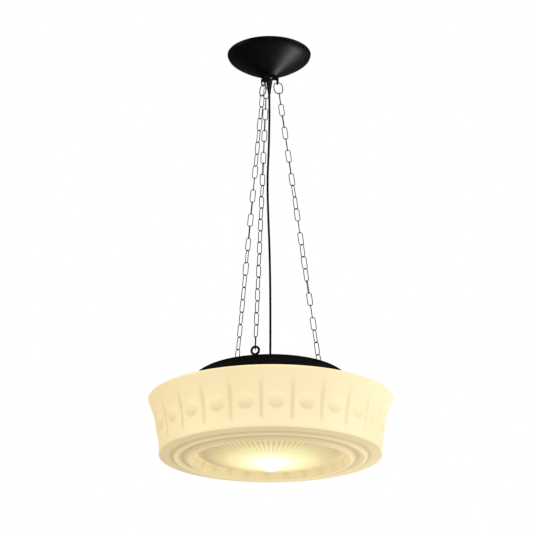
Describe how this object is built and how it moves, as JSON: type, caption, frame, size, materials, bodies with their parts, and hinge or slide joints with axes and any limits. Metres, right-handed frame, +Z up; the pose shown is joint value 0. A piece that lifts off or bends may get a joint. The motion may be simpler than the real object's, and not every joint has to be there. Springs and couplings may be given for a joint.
{
  "type": "pendant ceiling light",
  "caption": "Pendant light: a round black ceiling canopy, link chains and a cord carry a black pan that grips a fluted opal glass drum shade with a bulb inside.",
  "frame": {"origin": "middle of the mounting strap's top face, on the ceiling plane", "axes": "+Z up to the ceiling along the lamp's own axis, +Y away from the side the lamp is looked at from, +X to the right"},
  "size_m": [0.35, 0.35, 0.6536],
  "materials": {
    "black_iron": "satin black paint",
    "zinc_steel": "zinc plated",
    "black_cord": "matt sheath",
    "black_plastic": "moulded",
    "white_plastic": "moulded",
    "brass": "knurled",
    "opal_glass": "cream opal, moulded",
    "bulb_glass": "frosted"
  },
  "bodies": {
    "ceiling_canopy": {"mounting_strap": "zinc_steel", "canopy": "black_iron", "canopy_screw_near": "black_iron", "canopy_screw_far": "black_iron", "chain_spider": "black_iron", "threaded_nipple": "zinc_steel", "nipple_washer": "zinc_steel", "nipple_nut": "zinc_steel", "cord_grip": "black_plastic", "terminal_block": "white_plastic", "canopy_lead": "black_cord"},
    "upper_boot": {"upper_boot": "black_plastic"},
    "cord": {"pendant_cord": "black_cord"},
    "lower_boot": {"lower_boot": "black_plastic"},
    "pan_and_shade": {"fitter_pan": "black_iron", "pan_eyebolt_1": "black_iron", "pan_eyebolt_2": "black_iron", "pan_eyebolt_3": "black_iron", "eyebolt_nut_1": "zinc_steel", "eyebolt_nut_2": "zinc_steel", "eyebolt_nut_3": "zinc_steel", "glass_shade": "opal_glass", "holder_nipple": "zinc_steel", "holder_nut": "zinc_steel", "pan_lead": "black_cord", "holder_cap": "black_plastic", "holder_shell": "black_plastic", "holder_contact": "white_plastic", "bulb_cap": "zinc_steel", "bulb_glass": "bulb_glass"},
    "ring_1": {"split_ring_1": "black_iron"},
    "chain_1": {"chain_1": "black_iron"},
    "ring_2": {"split_ring_2": "black_iron"},
    "chain_2": {"chain_2": "black_iron"},
    "ring_3": {"split_ring_3": "black_iron"},
    "chain_3": {"chain_3": "black_iron"},
    "thumbscrew_1": {"thumbscrew_1": "brass"},
    "thumbscrew_2": {"thumbscrew_2": "brass"},
    "thumbscrew_3": {"thumbscrew_3": "brass"}
  },
  "joints": [
    {"name": "swing_fore_aft", "type": "hinge", "parent": "ceiling_canopy", "child": "upper_boot", "pos_m": [0, 0, -0.0458], "axis": [1, 0, 0], "range_deg": [-10, 10]},
    {"name": "swing_sideways", "type": "hinge", "parent": "upper_boot", "child": "cord", "pos_m": [0, 0, -0.0623], "axis": [0, 1, 0], "range_deg": [-10, 10]},
    {"name": "pan_level_sideways", "type": "hinge", "parent": "cord", "child": "lower_boot", "pos_m": [0, 0, -0.49624], "axis": [0, 1, 0], "range_deg": [-4, 4]},
    {"name": "pan_level_fore_aft", "type": "hinge", "parent": "lower_boot", "child": "pan_and_shade", "pos_m": [0, 0, -0.49624], "axis": [1, 0, 0], "range_deg": [-4, 4]},
    {"name": "ring_1_swing", "type": "hinge", "parent": "ceiling_canopy", "child": "ring_1", "pos_m": [0.01264, 0.00303, -0.0458], "axis": [1, 0, 0], "range_deg": [-10, 10]},
    {"name": "chain_1_swing", "type": "hinge", "parent": "ring_1", "child": "chain_1", "pos_m": [0.01481, 0.00356, -0.0623], "axis": [0, 1, 0], "range_deg": [-10, 10]},
    {"name": "ring_2_swing", "type": "hinge", "parent": "ceiling_canopy", "child": "ring_2", "pos_m": [-0.00895, 0.00943, -0.0458], "axis": [1, 0, 0], "range_deg": [-10, 10]},
    {"name": "chain_2_swing", "type": "hinge", "parent": "ring_2", "child": "chain_2", "pos_m": [-0.01049, 0.01105, -0.0623], "axis": [0, 1, 0], "range_deg": [-10, 10]},
    {"name": "ring_3_swing", "type": "hinge", "parent": "ceiling_canopy", "child": "ring_3", "pos_m": [-0.00369, -0.01247, -0.0458], "axis": [1, 0, 0], "range_deg": [-10, 10]},
    {"name": "chain_3_swing", "type": "hinge", "parent": "ring_3", "child": "chain_3", "pos_m": [-0.00433, -0.01461, -0.0623], "axis": [0, 1, 0], "range_deg": [-10, 10]},
    {"name": "thumbscrew_1_back_out", "type": "slide", "parent": "pan_and_shade", "child": "thumbscrew_1", "axis": [0.284, 0.9588, 0], "range_m": [0, 0.005]},
    {"name": "thumbscrew_2_back_out", "type": "slide", "parent": "pan_and_shade", "child": "thumbscrew_2", "axis": [-0.9724, -0.2334, 0], "range_m": [0, 0.005]},
    {"name": "thumbscrew_3_back_out", "type": "slide", "parent": "pan_and_shade", "child": "thumbscrew_3", "axis": [0.6884, -0.7254, 0], "range_m": [0, 0.005]}
  ],
  "couplings": [
    {"joint": "pan_level_sideways", "follows": "swing_sideways", "ratio": -0.20587},
    {"joint": "pan_level_fore_aft", "follows": "swing_fore_aft", "ratio": -0.17568},
    {"joint": "ring_1_swing", "follows": "swing_fore_aft", "ratio": 1},
    {"joint": "chain_1_swing", "follows": "swing_sideways", "ratio": 1},
    {"joint": "ring_2_swing", "follows": "swing_fore_aft", "ratio": 1},
    {"joint": "chain_2_swing", "follows": "swing_sideways", "ratio": 1},
    {"joint": "ring_3_swing", "follows": "swing_fore_aft", "ratio": 1},
    {"joint": "chain_3_swing", "follows": "swing_sideways", "ratio": 1}
  ]
}
